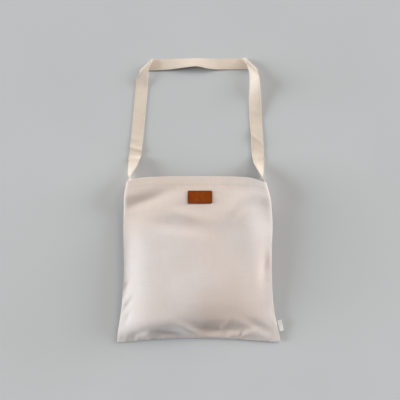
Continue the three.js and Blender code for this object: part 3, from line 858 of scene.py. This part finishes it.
# tan leather: grain, uneven dye, darker towards its cut edge
def leatherMaterial():
    material, tree, shader = newMaterial("patch_leather")
    place = addNode(tree, "ShaderNodeTexCoord").outputs["Object"]
    flat = addNode(tree, "ShaderNodeUVMap", uv_map="cloth").outputs[0]
    flatX, flatY, _ = addNode(tree, "ShaderNodeSeparateXYZ", {0: flat}).outputs
    cellSockets = {"Vector": place, "Scale": patchShape["grain"]}
    cells = addNode(tree, "ShaderNodeTexVoronoi", cellSockets, feature="SMOOTH_F1").outputs["Distance"]
    pores = noise(tree, place, patchShape["grain"] * 2.2, 3)
    grain = calc(tree, "ADD", cells, calc(tree, "MULTIPLY", pores, 0.5))
    dye = ramp(tree, noise(tree, place, patchShape["dye"], 4, 0.6), [(0.32, 0.0), (0.7, 1.0)])
    colour = blend(tree, dye, (*patchShape["deep"], 1), (*patchShape["tan"], 1))
    colour = blend(tree, 1.0, colour, ramp(tree, grain, [(0.25, 1.0), (0.85, 0.8)]), "MULTIPLY")
    toSide = calc(tree, "SUBTRACT", patchShape["width"] / 2 * mm, calc(tree, "ABSOLUTE", flatX))
    toEnd = calc(tree, "SUBTRACT", patchShape["height"] / 2 * mm, calc(tree, "ABSOLUTE", flatY))
    toEdge = calc(tree, "MINIMUM", toSide, toEnd)
    toEdge = calc(tree, "ADD", toEdge, calc(tree, "MULTIPLY", calc(tree, "SUBTRACT", pores, 0.5), 0.0006))
    rim = ramp(tree, calc(tree, "MULTIPLY", toEdge, 500.0), [(0.12, 0.95), (0.6, 0.25), (1.0, 0.0)])
    colour = blend(tree, rim, colour, (*patchShape["edge"], 1))
    normal = bump(tree, noise(tree, place, patchShape["dents"], 3), 0.25, 0.0004)
    normal = bump(tree, grain, 0.45, 0.0002, normal)
    tree.links.new(colour, shader.inputs["Base Color"])
    tree.links.new(normal, shader.inputs["Normal"])
    tree.links.new(ramp(tree, grain, [(0.2, 0.56), (0.9, 0.78)]), shader.inputs["Roughness"])
    shader.inputs["Specular IOR Level"].default_value = 0.1
    return material


# height of the front's outer face at places in plan, from the nearest of its points
def frontHeight(x, y):
    places = frontFace.reshape(-1, 3)
    heights = []
    for px, py in zip(np.ravel(x), np.ravel(y)):
        away = (places[:, 0] - px) ** 2 + (places[:, 1] - py) ** 2
        near = np.argpartition(away, 6)[:6]
        weight = 1 / (away[near] + 0.05)
        heights.append(np.sum(places[near, 2] * weight) / np.sum(weight))
    return np.array(heights).reshape(np.shape(x))


patchMiddleX, patchMiddleY = patchShape["middle"]
patchHalfX, patchHalfY = patchShape["width"] / 2, patchShape["height"] / 2


# terms of a smooth bend, of the third degree, over the patch
def bendTerms(x, y):
    x, y = x / patchHalfX, y / patchHalfY
    return np.stack([np.ones_like(x), x, y, x * x, x * y, y * y, x**3, x * x * y, x * y * y, y**3], -1)


coarse = np.linspace(-1, 1, patchShape["fitPoints"])
coarseX, coarseY = np.meshgrid(coarse * patchHalfX, coarse * patchHalfY)
coarseZ = frontHeight(coarseX + patchMiddleX, coarseY + patchMiddleY)
bend = np.linalg.lstsq(bendTerms(coarseX.ravel(), coarseY.ravel()), coarseZ.ravel(), rcond=None)[0]
pointsAcross, pointsUp = patchShape["points"]
colShares = np.sin(np.linspace(-1, 1, pointsAcross) * math.pi / 2)
rowPlaces = patchHalfY * np.sin(np.linspace(-1, 1, pointsUp) * math.pi / 2)
corner = patchShape["corner"]
fromEnd = np.minimum(patchHalfY - np.abs(rowPlaces), corner)
bite = corner - np.sqrt(corner**2 - (corner - fromEnd) ** 2)
patchX = (patchHalfX - bite)[:, None] * colShares[None, :]
patchY = np.repeat(rowPlaces[:, None], len(colShares), 1)
patchZ = bendTerms(patchX, patchY) @ bend + patchShape["gap"]
patchFace = np.stack([patchX + patchMiddleX, patchY + patchMiddleY, patchZ], -1)
patchNormals = gridNormals(patchFace)
edgeAway = np.minimum(patchHalfX - np.abs(patchX), patchHalfY - np.abs(patchY))
wornDepth, wornWide = patchShape["wornEdge"]
grooveDepth, grooveWide = patchShape["groove"]
worn = wornDepth * np.exp(-edgeAway / wornWide)
groove = grooveDepth * np.exp(-(((edgeAway - patchShape["stitchIn"]) / grooveWide) ** 2))
patchTop = patchFace + patchNormals * (patchShape["thick"] - worn - groove)[..., None]
patch = gridPiece("leather_patch_piece", patchTop, np.stack([patchX, patchY], -1), leatherMaterial())
thicken(patch, "leather", patchShape["thick"] - wornDepth, -1)
carried(patch, "patch_leather", "leather_patch")

patchStitch = {"pitch": 2.8, "long": 2.1, "thick": 0.5}
turnIn = patchShape["stitchCorner"]
seamX, seamY = [half - patchShape["stitchIn"] - turnIn for half in (patchHalfX, patchHalfY)]
seamLoop = []
for sideX, sideY, start in ((1, 1, 0), (-1, 1, 90), (-1, -1, 180), (1, -1, 270)):
    for angle in np.radians(np.linspace(start, start + 90, 7)):
        turn = turnIn * math.cos(angle), turnIn * math.sin(angle)
        seamLoop.append((sideX * seamX + turn[0], sideY * seamY + turn[1]))
loopX, loopY = np.array(seamLoop + seamLoop[:1]).T
loopZ = bendTerms(loopX, loopY) @ bend + patchShape["gap"] + patchShape["thick"] - patchShape["stitchSink"]
seamPoints = np.column_stack([loopX + patchMiddleX, loopY + patchMiddleY, loopZ])
middleNormal = patchNormals[pointsUp // 2, pointsAcross // 2]
seamLine = (seamPoints, np.tile(middleNormal, (len(seamPoints), 1)))
patchStitches = stitchPiece("patch_stitches", [seamLine], patchStitch, brownThread, "patch_leather")
print("patch made:", len(patch.data.vertices), len(patchStitches.data.polygons))

tagShape = {
    "y": -155,
    "length": 25,
    "reach": 10.5,
    "away": 0.6,  # from the seam
    "half": 1.05,  # half of the room between the two layers
    "thick": 0.5,
    "pinch": 0.55,  # how far each layer bends in towards the seam
    "bend": 75,  # degrees each way round the fold
    "steps": 9,  # points along each layer and round the fold
    "rows": 26,
    "curl": 0.5,
    "curlTurn": (0.6, 5.2),  # start and length of the curl's wave
    "ribs": 420.0,  # scales of the ribs' and the warp's bands
    "warp": 650.0,
    "dark": (0.79, 0.775, 0.75),
    "light": (0.9, 0.89, 0.87),
}


# white woven ribbon: fine ribs across, soft unevenness
def ribbonMaterial():
    material, tree, shader = newMaterial("tag_ribbon")
    flat = addNode(tree, "ShaderNodeUVMap", uv_map="cloth").outputs[0]
    ribs = bands(tree, flat, tagShape["ribs"], 0.6, "Y")
    warp = bands(tree, flat, tagShape["warp"], 0.6, "X")
    weave = calc(tree, "MULTIPLY", ribs, warp)
    place = addNode(tree, "ShaderNodeTexCoord").outputs["Object"]
    cloud = ramp(tree, noise(tree, place, 160, 3), [(0.3, 0.94), (0.7, 1.0)])
    colour = blend(tree, weave, (*tagShape["dark"], 1), (*tagShape["light"], 1))
    tree.links.new(blend(tree, 1.0, colour, cloud, "MULTIPLY"), shader.inputs["Base Color"])
    tree.links.new(bump(tree, weave, 0.5, 0.0002), shader.inputs["Normal"])
    tree.links.new(ramp(tree, weave, [(0.0, 0.62), (1.0, 0.75)]), shader.inputs["Roughness"])
    shader.inputs["Sheen Weight"].default_value = 0.2
    return material


def rightSeamPlace(y):
    return np.array([rightSeam(y), y, seamHeight(y)], float)


tagFrom = rightSeamPlace(tagShape["y"] + tagShape["length"] / 2)
tagTo = rightSeamPlace(tagShape["y"] - tagShape["length"] / 2)
tagDown = unit(tagTo - tagFrom)
tagOut = unit(np.cross([0, 0, 1], tagDown))
tagUp = np.cross(tagDown, tagOut)
foldX = tagShape["reach"] - tagShape["half"] - tagShape["thick"] / 2
tagSteps = tagShape["steps"]
outwards = np.linspace(0, foldX, tagSteps)
turns = np.radians(np.linspace(-tagShape["bend"], tagShape["bend"], tagSteps))
layer = np.full(tagSteps, tagShape["half"]) - np.linspace(tagShape["pinch"], 0, tagSteps)
loopReach = np.concatenate([outwards, foldX + tagShape["half"] * np.cos(turns), outwards[::-1]])
loopRise = np.concatenate([-layer, tagShape["half"] * np.sin(turns), layer[::-1]])
loopWay = np.concatenate([[0], np.cumsum(np.hypot(np.diff(loopReach), np.diff(loopRise)))])
tagRuns = np.linspace(0, tagShape["length"], tagShape["rows"])
curlStart, curlLong = tagShape["curlTurn"]
tagOutwards = np.outer(loopReach + tagShape["away"], tagOut)
tagRows = []
for run in tagRuns:
    wave = tagShape["curl"] * math.sin(run / tagShape["length"] * curlLong + curlStart)
    lift = loopRise + wave * (loopReach / tagShape["reach"]) ** 2
    tagRows.append(tagFrom + tagDown * run + tagOutwards + np.outer(lift, tagUp))
tagFlat = np.stack(np.meshgrid(loopWay, tagRuns), -1)
tag = gridPiece("side_tag_ribbon", np.stack(tagRows), tagFlat, ribbonMaterial())
thicken(tag, "ribbon", tagShape["thick"], 0)
carried(tag, "tag_cloth", "side_tag")
print("tag made:", len(tag.data.vertices))

cameraView = {
    "place": (0.003, 0.06475, 0.73495),
    "target": (0.003, 0.142, 0.0),
    "lens": 27,
    "sensor": 36,
}
cameraData = bpy.data.cameras.new("camera")
cameraData.lens, cameraData.sensor_width = cameraView["lens"], cameraView["sensor"]
cameraData.clip_start = 0.01
camera = bpy.data.objects.new("camera", cameraData)
scene.collection.objects.link(camera)
camera.location = cameraView["place"]
lookWay = Vector(cameraView["target"]) - Vector(cameraView["place"])
camera.rotation_euler = lookWay.to_track_quat("-Z", "Y").to_euler()
scene.camera = camera

studio = {
    "floor": (0.56, 0.567, 0.575),
    "floorReach": 30,  # metres each way
    "floorDrop": 0.0002,  # metres of room for the threads under the back
    "world": (1.0, 0.985, 0.97, 0.25),  # colour and strength
    "softness": 28,  # width of each light in degrees, as seen from the bag
    # turn from +X, height in degrees, strength, colour
    "lights": {
        "left low": (180, 13, 3.8, (0.87, 0.955, 1.0)),
        "right low": (18, 13, 3.0, (0.87, 0.955, 1.0)),
        "right high": (42, 38, 0.95, (1.0, 0.9, 0.8)),
        "top": (98, 33, 0.4, (1.0, 0.89, 0.78)),
    },
}
for name, (turn, climb, strength, colour) in studio["lights"].items():
    lightData = bpy.data.lights.new(name, "SUN")
    lightData.angle, lightData.energy, lightData.color = math.radians(studio["softness"]), strength, colour
    light = bpy.data.objects.new(name, lightData)
    scene.collection.objects.link(light)
    turn, climb = math.radians(turn), math.radians(climb)
    way = Vector((math.cos(turn) * math.cos(climb), math.sin(turn) * math.cos(climb), math.sin(climb)))
    light.location = way
    light.rotation_euler = (-way).to_track_quat("-Z", "Y").to_euler()
world = bpy.data.worlds.new("studio")
world.use_nodes = True
world.node_tree.nodes["Background"].inputs["Color"].default_value = (*studio["world"][:3], 1)
world.node_tree.nodes["Background"].inputs["Strength"].default_value = studio["world"][3]
scene.world = world
scene.view_settings.view_transform = "Standard"

floorMaterial, floorTree, floorShader = newMaterial("pale_floor")
floorPlace = addNode(floorTree, "ShaderNodeTexCoord").outputs["Object"]
floorShade = ramp(floorTree, noise(floorTree, floorPlace, 3, 2), [(0.3, 0.97), (0.7, 1.0)])
floorColour = blend(floorTree, 1.0, (*studio["floor"], 1), floorShade, "MULTIPLY")
floorTree.links.new(floorColour, floorShader.inputs["Base Color"])
floorShader.inputs["Roughness"].default_value = 0.9
floorShader.inputs["Specular IOR Level"].default_value = 0.1
floorMesh = bmesh.new()
bmesh.ops.create_grid(floorMesh, x_segments=2, y_segments=2, size=studio["floorReach"])
bmesh.ops.translate(floorMesh, verts=floorMesh.verts, vec=(0, 0, -studio["floorDrop"]))
floor = meshPiece("floor", floorMesh, floorMaterial)
print("camera, light and floor set")
